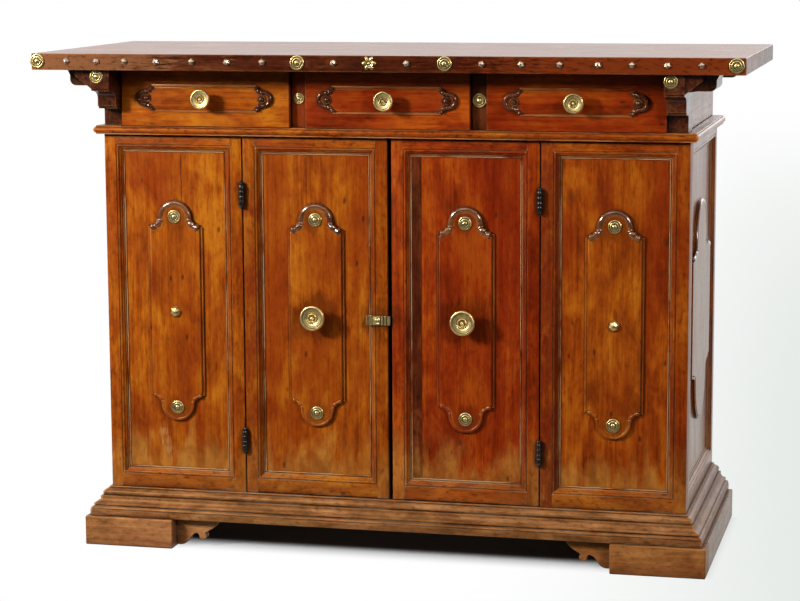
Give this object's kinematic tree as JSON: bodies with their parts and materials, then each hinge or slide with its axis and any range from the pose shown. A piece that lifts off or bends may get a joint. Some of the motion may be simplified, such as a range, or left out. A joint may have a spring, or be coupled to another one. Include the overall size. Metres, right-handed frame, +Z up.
{
  "type": "credenza",
  "caption": "Low walnut credenza with hinged panelled doors between fixed panels, frieze drawers on a deck, a corbelled overhanging top and bracket feet.",
  "frame": {"origin": "on the floor, under the middle of the top board", "axes": "+X to the right of someone facing the front, +Y to the back, +Z up"},
  "size_m": [1.48, 0.622, 1.06],
  "materials": {
    "polished_walnut": "glossy shellac",
    "worn_walnut": "worn wax",
    "plain_walnut": "bare, matt",
    "brass": "polished, tarnished in hollows",
    "black_iron": "blackened"
  },
  "bodies": {
    "case": {"top_board": "polished_walnut", "drawer_deck": "plain_walnut", "back_board": "plain_walnut", "bottom_board": "plain_walnut", "shelf": "plain_walnut", "plinth_moulding_front": "worn_walnut", "waist_moulding_front": "polished_walnut", "corbel_front_left": "polished_walnut", "corbel_front_right": "polished_walnut", "corbel_rear_left": "polished_walnut", "corbel_rear_right": "polished_walnut", "frieze_side_left": "polished_walnut", "frieze_side_right": "polished_walnut", "drawer_divider_left": "polished_walnut", "drawer_divider_right": "polished_walnut", "waist_moulding_left": "polished_walnut", "waist_moulding_right": "polished_walnut", "front_frame_left": "polished_walnut", "front_frame_right": "polished_walnut", "front_panel_left": "polished_walnut", "front_panel_right": "polished_walnut", "side_frame_left": "polished_walnut", "side_frame_right": "polished_walnut", "side_panel_left": "polished_walnut", "side_panel_right": "polished_walnut", "plinth_moulding_left": "worn_walnut", "plinth_moulding_right": "worn_walnut", "foot_front_left": "worn_walnut", "foot_front_right": "worn_walnut", "foot_side_left": "worn_walnut", "foot_side_right": "worn_walnut", "foot_scroll_left": "worn_walnut", "foot_scroll_right": "worn_walnut", "hinge_case_leaf_left_upper": "black_iron", "hinge_case_leaf_left_lower": "black_iron", "hinge_case_leaf_right_upper": "black_iron", "hinge_case_leaf_right_lower": "black_iron"},
    "door_left": {"door_frame_left": "polished_walnut", "door_panel_left": "polished_walnut", "door_knob_left": "brass", "hinge_door_leaf_left_upper": "black_iron", "hinge_door_leaf_left_lower": "black_iron"},
    "door_right": {"door_frame_right": "polished_walnut", "door_panel_right": "polished_walnut", "door_knob_right": "brass", "hinge_door_leaf_right_upper": "black_iron", "hinge_door_leaf_right_lower": "black_iron"},
    "latch": {"latch_button": "brass"},
    "drawer_left": {"drawer_front_left": "polished_walnut", "drawer_box_left": "plain_walnut", "drawer_bottom_left": "plain_walnut", "drawer_knob_left": "brass"},
    "drawer_middle": {"drawer_front_middle": "polished_walnut", "drawer_box_middle": "plain_walnut", "drawer_bottom_middle": "plain_walnut", "drawer_knob_middle": "brass"},
    "drawer_right": {"drawer_front_right": "polished_walnut", "drawer_box_right": "plain_walnut", "drawer_bottom_right": "plain_walnut", "drawer_knob_right": "brass"}
  },
  "joints": [
    {"name": "door_left_hinge", "type": "hinge", "parent": "case", "child": "door_left", "pos_m": [-0.3175, -0.2132, 0.5045], "axis": [0, 0, -1], "range_deg": [0, 150]},
    {"name": "door_right_hinge", "type": "hinge", "parent": "case", "child": "door_right", "pos_m": [0.3175, -0.2132, 0.5045], "axis": [0, 0, 1], "range_deg": [0, 150]},
    {"name": "latch_turn", "type": "hinge", "parent": "door_left", "child": "latch", "pos_m": [-0.0276, -0.207, 0.5045], "axis": [0, -1, 0], "range_deg": [-90, 90]},
    {"name": "drawer_left_slide", "type": "slide", "parent": "case", "child": "drawer_left", "axis": [0, -1, 0], "range_m": [0, 0.32]},
    {"name": "drawer_middle_slide", "type": "slide", "parent": "case", "child": "drawer_middle", "axis": [0, -1, 0], "range_m": [0, 0.32]},
    {"name": "drawer_right_slide", "type": "slide", "parent": "case", "child": "drawer_right", "axis": [0, -1, 0], "range_m": [0, 0.32]}
  ]
}
